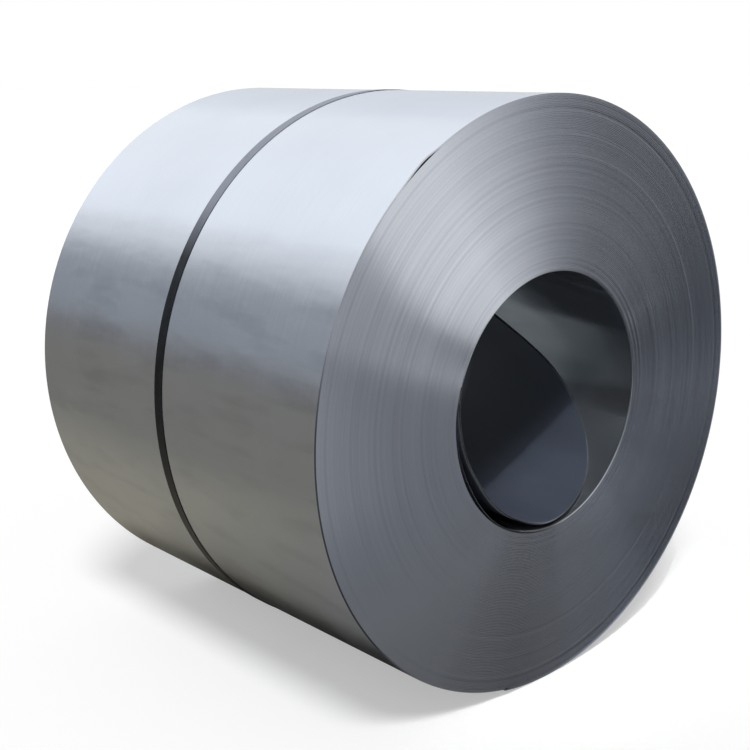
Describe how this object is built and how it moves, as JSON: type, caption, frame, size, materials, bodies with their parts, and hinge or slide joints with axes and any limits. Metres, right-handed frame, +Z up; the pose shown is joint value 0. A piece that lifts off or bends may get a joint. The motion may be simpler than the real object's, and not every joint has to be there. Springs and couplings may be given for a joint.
{
  "type": "steel coil",
  "caption": "Coil of wound steel strip lying on its side, with an open eye, a sprung inner lap and a belly strap closed by a seal.",
  "frame": {"origin": "on the floor, under the middle of the coil: the centre of the bounding box's lowest face", "axes": "+Z up; the coil's axis lies along Y, with the end shown in front facing -Y; +X across the coil"},
  "size_m": [1.1646, 0.916, 1.1646],
  "materials": {
    "strip_steel": "galvanised strip, smooth rolled finish with a soft lengthwise grain, slit edges on the ends",
    "strap_steel": "blued and waxed steel strapping, satin",
    "seal_steel": "zinc coated sheet, dull"
  },
  "bodies": {
    "root": {"coil": "strip_steel", "strap": "strap_steel", "strap_seal": "seal_steel"}
  },
  "joints": []
}
